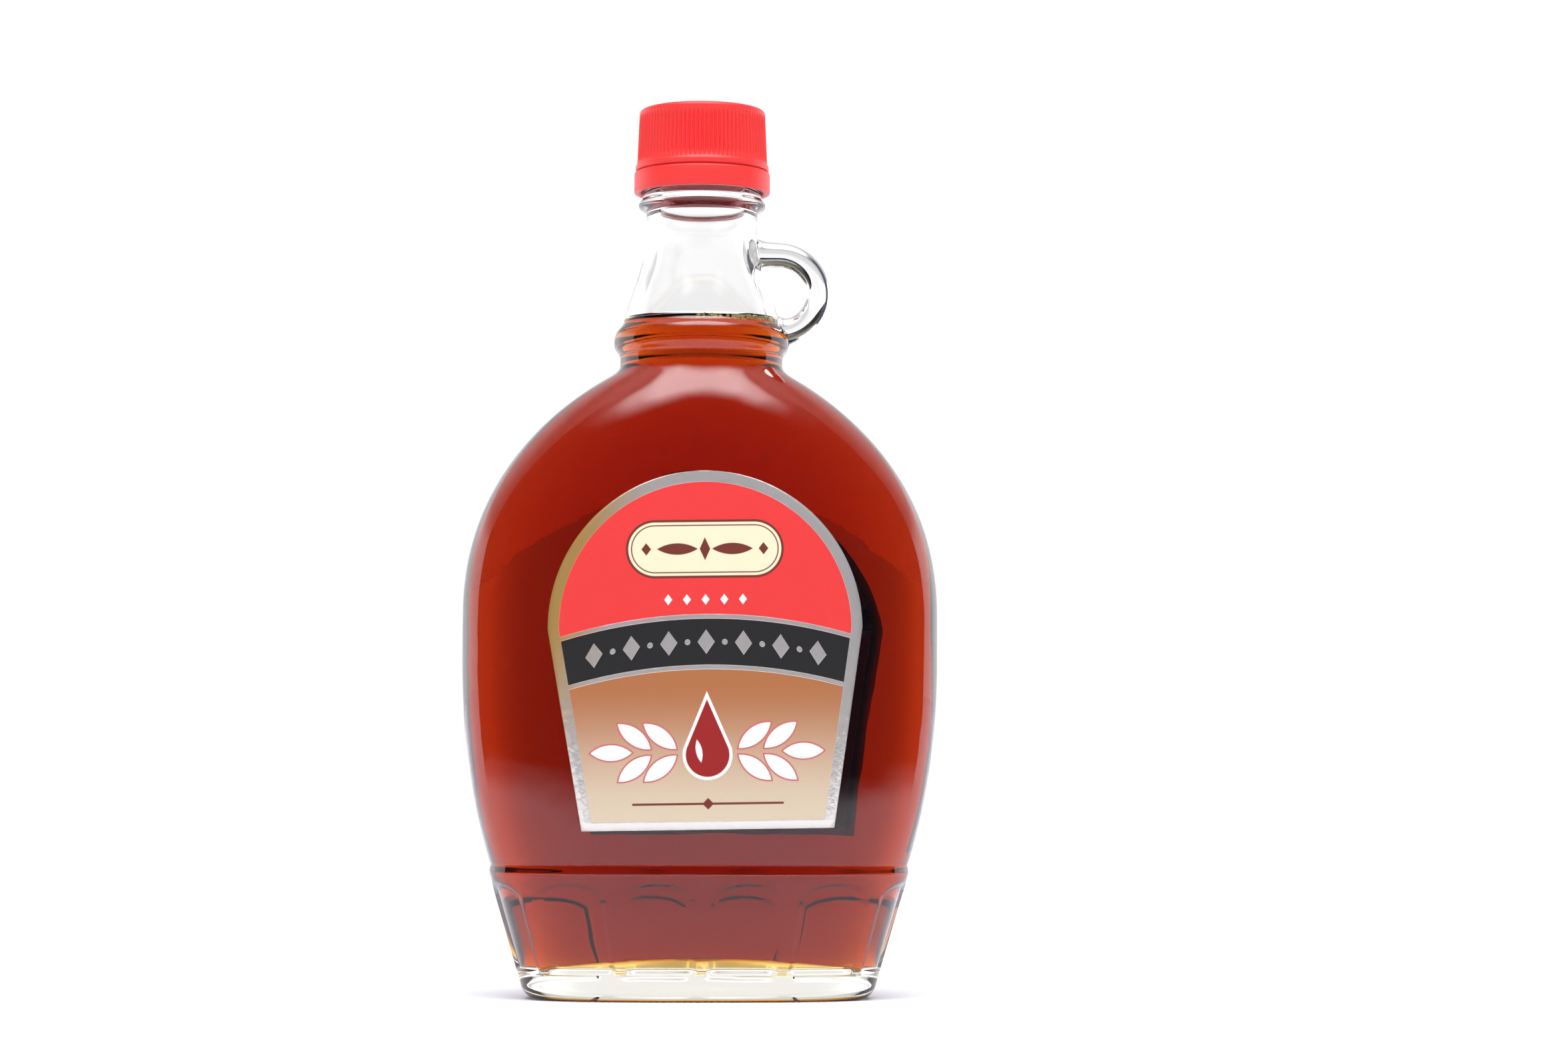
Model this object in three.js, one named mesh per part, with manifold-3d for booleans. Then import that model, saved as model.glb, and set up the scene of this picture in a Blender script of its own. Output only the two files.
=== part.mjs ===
// A flask-shaped glass bottle of syrup with a finger-loop handle, a ribbed screw cap and two arched labels.
// Millimetres, +Z up. The origin is the middle of the base, on the surface that the bottle stands on.
// The front label faces -Y and the handle is on the +X side.

import * as THREE from "three";
import { mergeVertices } from "three/addons/utils/BufferGeometryUtils.js";
import Module from "manifold-3d";

const { lerp, smoothstep } = THREE.MathUtils;

// Outline of the glass body, half of it across (X) and half of it through (Y).
// Below the level low and above the level high it falls in from its full reach along a power curve.
const ACROSS = {
  reach: 54.9, foot: 39.9, baseTop: 48.1,
  low: 78, lowRun: 96.5, lowPower: 2.07,
  high: 88, highRun: 62.3, highPower: 2.13, highRoot: 1.6,
  wall: 1.8,
};
const THROUGH = {
  reach: 27.7, foot: 20, baseTop: 26.2,
  low: 75, lowRun: 94.5, lowPower: 3,
  high: 75, highRun: 77.8, highPower: 5.3, highRoot: 2,
  wall: 3.2,
};

// Plan sections are superellipses: squarish at the base and body, round at the neck.
const SQUARENESS = { body: 2.8, neck: 2 };
const SQUARE_LEVELS = { bodyTo: 105, neckFrom: 146 };

// Base: a tapered foot with a ring to stand on, a hollow underneath and a plain land on top.
const HEEL = { height: 3, waist: 0.976, waistHeight: 0.8 };
const RING = { inner: 0.78, outer: 0.935 };
const PUSH_UP = 3.4;
const LAND_FOOT = 28.8;
const LAND_TOP = 31;
const LEDGE = 0.25;

// Arched flutes round the foot. A ridge stands between each two, and one is at the middle of the front.
const FLUTES = 12;
// Places across a flute are fractions of the way from ridge to ridge.
const FLUTE = {
  bottom: 7.2, top: 26.8, archRise: 4.6, depth: 0.85, fade: 1.2,
  ridge: 0.08, flank: 0.08, third: 0.37,
};
const FLUTE_PLACES = [0, FLUTE.ridge, FLUTE.ridge + FLUTE.flank, FLUTE.third];
const COLUMNS_PER_FLUTE = [...FLUTE_PLACES, ...FLUTE_PLACES.slice(1).reverse().map((place) => 1 - place)];

// Neck and finish.
const NECK = { footRadius: 18.9, radius: 12.95, taperFrom: 150.5, taperTo: 177 };
const NECK_ROWS = { from: 158, to: 178 };
const PINCH = 147;
const SHOULDER_BLEND = 3;
const BEADS = [
  { at: 152, half: 3.2, rise: 1.5 },
  { at: 183.9, half: 1.45, rise: 1.9 },
];
const COLLAR = { radius: 13.9, from: 184.9, to: 187.6 };
const FINISH_RADIUS = 12.7;
const LIP = { top: 204.2, round: 0.7 };

// Cavity and contents. The wall has its own thickness on each side of the body.
const WALL = 3;
const WALL_LEVELS = { footTo: 26, bodyFrom: 60, bodyTo: 126, neckFrom: 148 };
const FLOOR = { edge: 7.4, middle: 10.6, round: 7, edgeFraction: 0.75 };
const FILL_LEVEL = 156.5;
const CLEARANCE = 0.3;

// How finely the glass is divided.
const UPPER_COLUMNS = 44;
const INNER_COLUMNS = 36;
const OUTER_ROWS = { body: 6, shoulder: 12, neck: 6, bead: 5 };
const INNER_ROWS = { corner: 4, body: 4, shoulder: 10, neck: 5 };
const SHOULDER_CROWDING = 1.7;

// Finger loop: a round glass bar in a half circle between two short arms that run into the neck.
const LOOP = { x: 18.1, z: 163.3, radius: 9.05, bar: 3, topInset: 11.8, bottomInset: 16.6 };
const LOOP_SIDES = 12;
const LOOP_STEPS = 22;

// Screw cap with its tamper band below a slit.
const CAP = { bottom: 186.7, top: 206.3, topRadius: 12.6, shoulder: 204.6, shoulderRadius: 14.3 };
const CAP_COLUMNS = 32;
const CAP_BAND = { radius: 15.85, top: 191.5, edge: 0.4 };
const CAP_SLIT = { radius: 14.9, height: 0.45 };
const CAP_LIP = { radius: 15.55, top: 193.4 };
const CAP_RIBS = { count: 90, foot: 15.2, head: 14.7, depth: 0.45, sunk: 0.2 };
const CAP_BORE = { bandRadius: 14.25, radius: 13.5, step: 189.4, stepHeight: 1, top: 204.6 };

// Labels: a half-round arch over sides that draw in towards the bottom edge.
const LABEL_GAP = 0.3;
const LABEL_THICKNESS = 0.25;
const LABEL_COLUMNS = 10;
const LABEL_ARCH_ROWS = 6;
const LABEL_SIDE_ROWS = 3;
const LABEL_ARCH_END = THREE.MathUtils.degToRad(85);
const LABEL_SPRINGING = 84.1;
const LABEL_BOTTOM = 38.9;
const FRONT_LABEL = { x: 0.4, radius: 35.5, bottomHalf: 28.4, tilt: 1, face: -1 };
const BACK_LABEL = { x: 4.5, radius: 32.5, bottomHalf: 27, tilt: 0, face: 1 };

const LOOKS = {
  glass: { color: 0xf2f0ee, roughness: 0.05, metalness: 0, opacity: 0.3, transparent: true },
  syrup: { color: 0x7a1d0c, roughness: 0.1, metalness: 0 },
  cap: { color: 0xe3262a, roughness: 0.45, metalness: 0 },
  paper: { color: 0xd2a06a, roughness: 0.5, metalness: 0 },
};

const WALK_STEPS = 720;
const MERGE_TOLERANCE = 1e-4;

const wasm = await Module();
wasm.setup();

// Power that keeps the sign of its base, as a superellipse needs.
function signedPower(value, power) {
  return Math.sign(value) * Math.abs(value) ** power;
}

// Half of the body along one direction at a height.
function bodyHalf(side, z) {
  if (z < LAND_FOOT) return lerp(side.foot, side.baseTop - LEDGE, z / LAND_FOOT);
  if (z < LAND_TOP) return side.baseTop;
  if (z < side.low) return side.reach * Math.sqrt(1 - ((side.low - z) / side.lowRun) ** side.lowPower);
  const fall = Math.max(0, (z - side.high) / side.highRun) ** side.highPower;
  return side.reach * Math.max(0, 1 - fall) ** (1 / side.highRoot);
}

function neckRadius(z) {
  return lerp(NECK.footRadius, NECK.radius, smoothstep(z, NECK.taperFrom, NECK.taperTo));
}

// Body and neck with a soft hollow between them, without beads, flutes or finish.
function glassHalf(side, z) {
  const body = bodyHalf(side, z);
  const neck = neckRadius(z);
  const blend = Math.max(0, 1 - Math.abs(body - neck) / SHOULDER_BLEND);
  return Math.max(body, neck) + (SHOULDER_BLEND * blend * blend) / 4;
}

function squareness(z) {
  return lerp(SQUARENESS.body, SQUARENESS.neck, smoothstep(z, SQUARE_LEVELS.bodyTo, SQUARE_LEVELS.neckFrom));
}

// How far the rings moulded round the neck stand out at a height.
function beadRise(z) {
  let rise = 0;
  for (const bead of BEADS) {
    const off = (z - bead.at) / bead.half;
    if (Math.abs(off) < 1) rise = Math.max(rise, bead.rise * Math.sqrt(1 - off * off));
  }
  return rise;
}

// Outer half of the glass with everything but the flutes.
function outerHalf(side, z) {
  const plain = glassHalf(side, z) + beadRise(z);
  if (z > COLLAR.to) return FINISH_RADIUS;
  return z > COLLAR.from ? Math.max(plain, COLLAR.radius) : plain;
}

// Thickness of the glass at a height.
function wallAt(side, z) {
  const body = lerp(WALL, side.wall, smoothstep(z, WALL_LEVELS.footTo, WALL_LEVELS.bodyFrom));
  return lerp(body, WALL, smoothstep(z, WALL_LEVELS.bodyTo, WALL_LEVELS.neckFrom));
}

// Half of the cavity: one wall inside the glass, rounded off where it meets the floor.
function innerHalf(side, z) {
  const off = Math.max(0, FLOOR.edge + FLOOR.round - z) / FLOOR.round;
  const corner = FLOOR.round * (1 - Math.sqrt(Math.max(0, 1 - off * off)));
  return glassHalf(side, z) - wallAt(side, z) - corner;
}

// Point of the plan section at a height, for a turn that starts at the front and goes round by +X.
function sectionPoint(halfAcross, halfThrough, power, turn) {
  const x = halfAcross * signedPower(Math.sin(turn), 2 / power);
  const y = -halfThrough * signedPower(Math.cos(turn), 2 / power);
  return new THREE.Vector2(x, y);
}

// Turns at which an even walk round the foot passes the given fractions of its length.
function evenTurns(fractions) {
  const lengths = [0];
  const at = (step) => {
    const turn = (2 * Math.PI * step) / WALK_STEPS;
    return sectionPoint(ACROSS.baseTop, THROUGH.baseTop, SQUARENESS.body, turn);
  };
  for (let step = 1; step <= WALK_STEPS; step += 1) {
    lengths.push(lengths[step - 1] + at(step).distanceTo(at(step - 1)));
  }
  return fractions.map((fraction) => {
    const goal = fraction * lengths[WALK_STEPS];
    const step = Math.max(1, lengths.findIndex((length) => length >= goal));
    const part = (goal - lengths[step - 1]) / (lengths[step] - lengths[step - 1]);
    return (2 * Math.PI * (step - 1 + part)) / WALK_STEPS;
  });
}

// Depth of a flute at a place across it and a height. Its head is half an ellipse.
function fluteDepth(place, z) {
  const fromRidge = Math.min(place, 1 - place);
  const across = smoothstep(fromRidge, FLUTE.ridge, FLUTE.ridge + FLUTE.flank);
  const fromMiddle = Math.min(1, Math.abs(1 - 2 * place) / (1 - 2 * FLUTE.ridge));
  const top = FLUTE.top - FLUTE.archRise * (1 - Math.sqrt(1 - fromMiddle * fromMiddle));
  const below = 1 - smoothstep(z, top - FLUTE.fade, top);
  const above = smoothstep(z, FLUTE.bottom - FLUTE.fade, FLUTE.bottom);
  return FLUTE.depth * across * below * above;
}

// A lathe whose rows are [fraction of the section, height], flattened into the plan sections.
function flattenedLathe(rows, turns, halfAt, depthAt) {
  const profile = rows.map(([fraction, z]) => new THREE.Vector2(fraction, z));
  const geometry = new THREE.LatheGeometry(profile, turns.length);
  const position = geometry.attributes.position;
  for (let column = 0; column <= turns.length; column += 1) {
    const turn = turns[column % turns.length];
    rows.forEach(([fraction, z], row) => {
      const power = squareness(z);
      const point = sectionPoint(halfAt(ACROSS, z), halfAt(THROUGH, z), power, turn);
      const inward = point.clone().normalize().multiplyScalar(depthAt(column % turns.length, z));
      point.sub(inward).multiplyScalar(fraction);
      position.setXYZ(column * rows.length + row, point.x, point.y, z);
    });
  }
  return geometry;
}

// Plain round lathe about Z from [radius, height] pairs.
function roundLathe(pairs, columns) {
  const profile = pairs.map(([radius, z]) => new THREE.Vector2(radius, z));
  return new THREE.LatheGeometry(profile, columns).rotateX(Math.PI / 2);
}

// Closed solid from a geometry, with shared corners merged and collapsed triangles dropped.
function solidFrom(geometry) {
  geometry.deleteAttribute("normal");
  geometry.deleteAttribute("uv");
  const merged = mergeVertices(geometry, MERGE_TOLERANCE);
  const corners = merged.index.array;
  const kept = [];
  for (let i = 0; i < corners.length; i += 3) {
    const [a, b, c] = corners.slice(i, i + 3);
    if (a !== b && b !== c && c !== a) kept.push(a, b, c);
  }
  const vertProperties = new Float32Array(merged.attributes.position.array);
  return new wasm.Manifold(new wasm.Mesh({ numProp: 3, vertProperties, triVerts: new Uint32Array(kept) }));
}

function namedMesh(name, solid, look) {
  const { vertProperties, triVerts } = solid.getMesh();
  const geometry = new THREE.BufferGeometry();
  geometry.setAttribute("position", new THREE.BufferAttribute(vertProperties, 3));
  geometry.setIndex(new THREE.BufferAttribute(triVerts, 1));
  geometry.computeVertexNormals();
  const mesh = new THREE.Mesh(geometry, new THREE.MeshStandardMaterial(look));
  mesh.name = name;
  return mesh;
}

// Even heights from one level to another, both ends included.
function levels(from, to, count) {
  return Array.from({ length: count }, (_, i) => lerp(from, to, i / (count - 1)));
}

// Heights that crowd together towards the upper one, which is left out.
function crowdedLevels(from, to, count) {
  const steps = levels(1, 0, count + 1).slice(0, -1);
  return steps.map((step) => lerp(to, from, step ** SHOULDER_CROWDING));
}

// Rows round a bead, closer together where its curve is steep.
function beadLevels(bead) {
  const steps = levels(-1, 1, OUTER_ROWS.bead);
  return steps.map((step) => bead.at + bead.half * Math.sin((step * Math.PI) / 2));
}

// Path of the loop's bar: in along the top arm, round the half circle and back into the neck.
class LoopPath extends THREE.Curve {
  getPoint(t, target = new THREE.Vector3()) {
    const topArm = LOOP.x - LOOP.topInset;
    const arc = Math.PI * LOOP.radius;
    const bottomArm = LOOP.x - LOOP.bottomInset;
    const run = t * (topArm + arc + bottomArm);
    if (run < topArm) return target.set(LOOP.topInset + run, 0, LOOP.z + LOOP.radius);
    if (run > topArm + arc) return target.set(LOOP.x - (run - topArm - arc), 0, LOOP.z - LOOP.radius);
    const angle = (run - topArm) / LOOP.radius;
    const x = LOOP.x + LOOP.radius * Math.sin(angle);
    return target.set(x, 0, LOOP.z + LOOP.radius * Math.cos(angle));
  }
}

function loopGeometry() {
  const section = new THREE.Shape();
  section.absarc(0, 0, LOOP.bar, 0, 2 * Math.PI);
  const extrudePath = new LoopPath();
  return new THREE.ExtrudeGeometry(section, { steps: LOOP_STEPS, curveSegments: LOOP_SIDES, extrudePath });
}

// Heights of the cavity's rows from the floor's rounded corner up to its top.
function cavityLevels(top) {
  const { corner, body, shoulder, neck } = INNER_ROWS;
  const rows = [
    ...levels(FLOOR.edge, FLOOR.edge + FLOOR.round, corner + 1).slice(1),
    ...levels(LAND_TOP, ACROSS.high, body).slice(0, -1),
    ...crowdedLevels(ACROSS.high, NECK.taperFrom, shoulder),
    ...levels(NECK.taperFrom, NECK.taperTo, neck),
  ];
  return rows.filter((z) => z < top - FLOOR.round / corner).concat(top);
}

function cavitySolid(inset, top) {
  const floor = [[0, FLOOR.middle + inset], [FLOOR.edgeFraction, FLOOR.edge + inset]];
  const walls = cavityLevels(top).map((z) => [1, z]);
  const rows = [...floor, ...walls, [0, top]];
  const halfAt = (side, z) => innerHalf(side, z - inset / 2) - inset;
  return solidFrom(flattenedLathe(rows, evenColumns(INNER_COLUMNS), halfAt, () => 0));
}

// Turns that divide the foot evenly into the given number of columns.
function evenColumns(count) {
  return evenTurns(Array.from({ length: count }, (_, i) => i / count));
}

// Fluted foot, tucked a little way up into the body.
function footSolid() {
  const places = Array.from({ length: FLUTES }, () => COLUMNS_PER_FLUTE).flat();
  const fractions = places.map((place, i) => (Math.floor(i / COLUMNS_PER_FLUTE.length) + place) / FLUTES);
  const ring = [[0, PUSH_UP], [RING.inner, 0], [RING.outer, 0]];
  const heel = [[HEEL.waist, HEEL.waistHeight], [1, HEEL.height]];
  const straight = [FLUTE.bottom - FLUTE.fade, FLUTE.bottom, (FLUTE.bottom + FLUTE.top) / 2];
  const arched = levels(FLUTE.top - FLUTE.archRise, FLUTE.top, OUTER_ROWS.bead);
  const fluted = [...straight, ...arched].map((z) => [1, z]);
  const head = [[1, LAND_FOOT - LEDGE], [HEEL.waist, LAND_FOOT + LEDGE], [0, LAND_FOOT + LEDGE]];
  const rows = [...ring, ...heel, ...fluted, ...head];
  const depthAt = (column, z) => fluteDepth(places[column], z);
  return solidFrom(flattenedLathe(rows, evenTurns(fractions), outerHalf, depthAt));
}

// Body, shoulder, neck and finish above the foot.
function upperSolid() {
  const body = [LAND_FOOT, ...levels(LAND_TOP, ACROSS.high, OUTER_ROWS.body).slice(0, -1)];
  const shoulder = [...crowdedLevels(ACROSS.high, PINCH, OUTER_ROWS.shoulder), PINCH];
  const neck = [...beadLevels(BEADS[0]), ...levels(NECK_ROWS.from, NECK_ROWS.to, OUTER_ROWS.neck)];
  const finish = [...beadLevels(BEADS[1]), COLLAR.to, COLLAR.to + CLEARANCE, LIP.top - LIP.round];
  const walls = [...body, ...shoulder, ...neck, ...finish].map((z) => [1, z]);
  const rows = [[0, LAND_FOOT], ...walls, [1 - LIP.round / FINISH_RADIUS, LIP.top], [0, LIP.top]];
  return solidFrom(flattenedLathe(rows, evenColumns(UPPER_COLUMNS), outerHalf, () => 0));
}

function bottleMesh() {
  const glass = footSolid().add(upperSolid()).add(solidFrom(loopGeometry()));
  const hollow = glass.subtract(cavitySolid(0, LIP.top + CLEARANCE));
  return namedMesh("bottle", hollow, LOOKS.glass);
}

function syrupMesh() {
  return namedMesh("syrup", cavitySolid(CLEARANCE, FILL_LEVEL), LOOKS.syrup);
}

// Ribbed skirt of the cap: a toothed outline drawn up, narrower towards its head.
function ribGeometry() {
  const outline = new THREE.Shape();
  const corners = 2 * CAP_RIBS.count;
  for (let i = 0; i < corners; i += 1) {
    const radius = CAP_RIBS.foot - (i % 2) * CAP_RIBS.depth;
    const turn = (2 * Math.PI * i) / corners;
    if (i === 0) outline.moveTo(radius, 0);
    else outline.lineTo(radius * Math.cos(turn), radius * Math.sin(turn));
  }
  const from = CAP_LIP.top - CAP_RIBS.sunk;
  const depth = CAP.shoulder - from;
  const geometry = new THREE.ExtrudeGeometry(outline, { depth, bevelEnabled: false });
  const position = geometry.attributes.position;
  for (let i = 0; i < position.count; i += 1) {
    const rise = position.getZ(i);
    const scale = lerp(1, CAP_RIBS.head / CAP_RIBS.foot, rise / depth);
    position.setXYZ(i, position.getX(i) * scale, position.getY(i) * scale, from + rise);
  }
  return geometry;
}

function capMesh() {
  const band = CAP_BAND;
  const slitTop = band.top + CAP_SLIT.height;
  const core = CAP_RIBS.head - CAP_RIBS.depth - CAP_RIBS.sunk;
  const outside = roundLathe([
    [0, CAP.bottom], [band.radius - band.edge, CAP.bottom], [band.radius, CAP.bottom + band.edge],
    [band.radius, band.top], [CAP_SLIT.radius, band.top], [CAP_SLIT.radius, slitTop],
    [CAP_LIP.radius, slitTop], [CAP_LIP.radius, CAP_LIP.top - band.edge],
    [CAP_RIBS.foot - band.edge, CAP_LIP.top], [core, CAP_LIP.top], [core, CAP.shoulder - CAP_RIBS.sunk],
    [CAP.shoulderRadius, CAP.shoulder], [CAP.topRadius, CAP.top], [0, CAP.top],
  ], CAP_COLUMNS);
  const mouth = CAP.bottom - CLEARANCE;
  const bore = roundLathe([
    [0, mouth], [CAP_BORE.bandRadius, mouth], [CAP_BORE.bandRadius, CAP_BORE.step],
    [CAP_BORE.radius, CAP_BORE.step + CAP_BORE.stepHeight], [CAP_BORE.radius, CAP_BORE.top],
    [0, CAP_BORE.top],
  ], CAP_COLUMNS);
  const solid = solidFrom(outside).add(solidFrom(ribGeometry())).subtract(solidFrom(bore));
  return namedMesh("cap", solid, LOOKS.cap);
}

// Distance of the glass face from the middle plane at a place across and a height.
function faceDistance(x, z) {
  const power = squareness(z);
  const off = Math.min(1, Math.abs(x) / glassHalf(ACROSS, z));
  return glassHalf(THROUGH, z) * (1 - off ** power) ** (1 / power);
}

// Rows of a label as [height, half width]: straight sides below, the arch above.
function labelRows(label) {
  const { radius } = label;
  const sides = levels(0, 1, LABEL_SIDE_ROWS + 1).slice(0, -1);
  const arch = levels(0, LABEL_ARCH_END, LABEL_ARCH_ROWS);
  return [
    ...sides.map((up) => [lerp(LABEL_BOTTOM, LABEL_SPRINGING, up), lerp(label.bottomHalf, radius, up)]),
    ...arch.map((angle) => [LABEL_SPRINGING + radius * Math.sin(angle), radius * Math.cos(angle)]),
  ];
}

// A thin sheet that lies on the glass, made from a box whose grid is laid over the label's rows.
function labelMesh(name, label, look) {
  const rows = labelRows(label);
  const geometry = new THREE.BoxGeometry(2, 1, rows.length - 1, LABEL_COLUMNS, 1, rows.length - 1);
  const position = geometry.attributes.position;
  const tilt = THREE.MathUtils.degToRad(label.tilt);
  for (let i = 0; i < position.count; i += 1) {
    const row = Math.round(position.getZ(i) + (rows.length - 1) / 2);
    const [height, half] = rows[row];
    const flat = new THREE.Vector2(position.getX(i) * half, height - LABEL_SPRINGING);
    flat.rotateAround(new THREE.Vector2(), tilt);
    const x = label.x + flat.x;
    const z = LABEL_SPRINGING + flat.y;
    const outer = position.getY(i) * label.face > 0;
    const distance = faceDistance(x, z) + LABEL_GAP + (outer ? LABEL_THICKNESS : 0);
    position.setXYZ(i, x, label.face * distance, z);
  }
  return namedMesh(name, solidFrom(geometry), look);
}

const bottle = new THREE.Group();
bottle.add(bottleMesh());
bottle.add(syrupMesh());
bottle.add(capMesh());
bottle.add(labelMesh("front_label", FRONT_LABEL, LOOKS.paper));
bottle.add(labelMesh("back_label", BACK_LABEL, LOOKS.paper));

export default bottle;
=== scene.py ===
"""Glass syrup bottle: the visual model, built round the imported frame."""
import math

import bmesh
import bpy
import numpy as np
from mathutils import Matrix


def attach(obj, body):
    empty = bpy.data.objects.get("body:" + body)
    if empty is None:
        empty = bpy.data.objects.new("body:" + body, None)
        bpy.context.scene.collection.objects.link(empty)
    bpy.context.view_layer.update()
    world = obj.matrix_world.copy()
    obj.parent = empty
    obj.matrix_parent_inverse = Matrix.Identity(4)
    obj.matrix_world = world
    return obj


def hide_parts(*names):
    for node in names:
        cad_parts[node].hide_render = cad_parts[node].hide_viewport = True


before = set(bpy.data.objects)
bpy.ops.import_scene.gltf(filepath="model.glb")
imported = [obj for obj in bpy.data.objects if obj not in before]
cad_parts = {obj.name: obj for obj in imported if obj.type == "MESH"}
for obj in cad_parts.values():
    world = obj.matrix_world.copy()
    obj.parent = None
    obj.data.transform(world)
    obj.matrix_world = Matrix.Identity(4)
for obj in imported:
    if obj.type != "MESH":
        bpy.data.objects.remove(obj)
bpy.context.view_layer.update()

# Sizes are in millimetres, as on the solids, and MM turns them into metres.
MM = 0.001

# Outline of the glass body, half of it across (X) and half of it through (Y).
ACROSS = dict(reach=54.9, foot=39.9, base_top=48.1, low=78, low_run=96.5, low_power=2.07,
              high=88, high_run=62.3, high_power=2.13, high_root=1.6, wall=1.8)
THROUGH = dict(reach=27.7, foot=20, base_top=26.2, low=75, low_run=94.5, low_power=3,
               high=75, high_run=77.8, high_power=5.3, high_root=2, wall=3.2)
SQUARENESS = dict(body=2.8, neck=2)
SQUARE_LEVELS = dict(body_to=105, neck_from=146)

# Base
HEEL = 3.0
RING = dict(inner=0.78, outer=0.935)
PUSH_UP = 3.4
LAND_FOOT = 28.8
LAND_TOP = 31.0
LEDGE = 0.3
FLUTES = 12
FLUTE = dict(bottom=7.2, top=26.8, arch_rise=4.2, depth=0.85, fade=0.7, ridge=0.1, flank=0.035)
STIPPLE = dict(height=0.35, columns=2)

# Neck and finish
NECK = dict(foot_radius=18.9, radius=12.95, taper_from=150.5, taper_to=177)
SHOULDER_BLEND = 3
BEADS = (
    dict(at=152.0, half=3.2, rise=1.5, soft=0.6),
    dict(at=183.9, half=1.45, rise=1.9, soft=0.3),
)
COLLAR = dict(radius=13.9, start=184.9, end=187.6)
FINISH_RADIUS = 12.7
LIP = dict(top=204.2, round=0.7)
EDGE_SOFTNESS = 0.35
INNER_SOFTNESS = 3.0

# Cavity and syrup
WALL = 3.0
WALL_LEVELS = dict(foot_to=26, body_from=60, body_to=126, neck_from=148)
FLOOR = dict(edge=7.4, middle=10.6, round=7)
FILL_LEVEL = 156.5
GLASS_IOR = 1.52
SYRUP_IOR = 1.47
SYRUP_OVERLAP = 0.15
GLASS_ABSORPTION = (0.0036, 0.0036, 0.0058)
SYRUP_ABSORPTION = (0.0315, 0.113, 0.415)
FREE_SURFACE = "free_surface"
MENISCUS = dict(rise=1.7, reach=1.5)
FOAM = dict(count=130, seed=7, turns=(-12, 80, 115), radii=(0.25, 0.5), drop=1.7, gap=0.05, fineness=2)

# Finger loop
LOOP = dict(x=18.1, z=163.3, radius=9.05, bar=3.0, top_inset=11.8, bottom_inset=16.6)
LOOP_FLARE = dict(share=0.3, length=1.8)
LOOP_SIDES = 32
LOOP_STEPS = 90

# Screw cap
CAP = dict(bottom=186.7, top=206.3, shoulder=205.3)
CAP_BAND = dict(radius=15.85, top=191.5)
CAP_SLIT = dict(radius=14.9, height=0.4)
CAP_LIP = dict(radius=15.55, top=193.4)
CAP_RIBS = dict(count=90, foot=15.2, head=14.7, depth=0.45)
CAP_RIB_FADE = dict(foot=8, head=6)
CAP_BORE = dict(band=14.25, radius=13.5, step=189.4, top=204.6, middle=6, slope=1,
                flare=0.2, flare_height=0.3)
CAP_ROUNDING = dict(band=0.35, corner=0.1, lip=0.2, lip_shoulder=0.5, lip_corner=0.12, lip_edge=0.15)
CAP_RIB_GAP = dict(out=0.05, up=0.1)
CAP_TOP_RADII = (12.4, 9, 5, 2)

# Labels
LABEL_SPRINGING = 84.1
LABEL_BOTTOM = 38.9
LABEL_GAP = 0.06
LABEL_THICKNESS = 0.14
FRONT_LABEL = dict(x=0.4, radius=35.5, bottom_half=28.4, tilt=1.0, face=-1)
BACK_LABEL = dict(x=4.5, radius=32.5, bottom_half=27.0, tilt=0.0, face=1)

# Light of the studio, as brightness. A fade runs between two sines of height or two cosines of a turn.
STUDIO = dict(horizon=1.06, side=1.7, side_fade=(0.8, 0.965), wall=0.4, horizon_fade=(0.23, 0.38),
              backdrop=0.8, backdrop_fade=(0.2, 0.7), backdrop_top=(0.6, 0.8),
              ceiling=0.6, ceiling_fade=(0.72, 0.9), panel=7.5, panel_fade=(0.92, 0.98),
              panel_ends=(0.3, 0.6), panel_direction=(-0.38, 0.925), colour=(0.985, 0.98, 1, 1))
# Sizes of the flag and of the stage are in metres.
FLAG = dict(radius=0.25, turn=100, height=0.6, bottom_fade=(0.005, 0.035), top_fade=(0.38, 0.55), steps=32)
STAGE_HALF = 30

# Prints on the labels. Heights are from the springing line of the arch.
PRINT_SHARE = 0.67
PRINT_EDGE = 0.1
FOIL = dict(rim=2.5, bottom_rim=1.9, metal=0.7, roughness=0.26, paper_roughness=0.42,
            ripple_scale=650, ripple_detail=3, ripple_height=0.00012, paper_bump=0.1,
            gold_lean=0.3, gold_fade=(-1.0, -0.55))
PAPER_GRAIN = dict(scale=900, red=0.25, cream=0.2)
FRONT_BAND = dict(at=-7.6, bow=4.5, span=32, half=5.2, line=1.0, pitch=8.4, row_half=27.5,
                  lozenge=(1.9, 2.7), stud=0.6, tan_fade=(-44, -12))
DROP = dict(at=-28.5, radius=4.9, tip=12.5, rim=0.7,
            shine=(-1.9, -27.6), shine_half=(2.6, 0.7), shine_turn=100)
SPRIG = dict(half_long=4.6, half_wide=1.75, rim=0.35,
             leaves=((10.6, -24.2, 38), (10.6, -31.4, -38), (16.4, -24.2, 38), (16.4, -31.4, -38),
                     (21.6, -27.8, 0)))
RULE = dict(at=-39.4, half=17, width=0.5, gem=1.3)
PLAQUE = dict(at=17.8, straight=11.2, radius=6.3, line=0.55, inset=1.0, gem=(1.2, 2.6),
              leaf_at=6.2, leaf_half=(4.6, 1.3), stud_at=13.2, stud=(1.1, 1.4))
BEAD_ROW = dict(at=6.4, pitch=4.2, half=10.5, bead=(0.9, 1.2))
BACK = dict(rim=1.8, band=4.0, band_half=2.4, line_at=2.7, line=0.6,
            drop=15.0, drop_radius=4.6, drop_tip=10.5,
            rules_from=-38.0, rule=0.5, pitch=4.6, half=19.5, middle=-20.0, half_tall=16.5)

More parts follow.
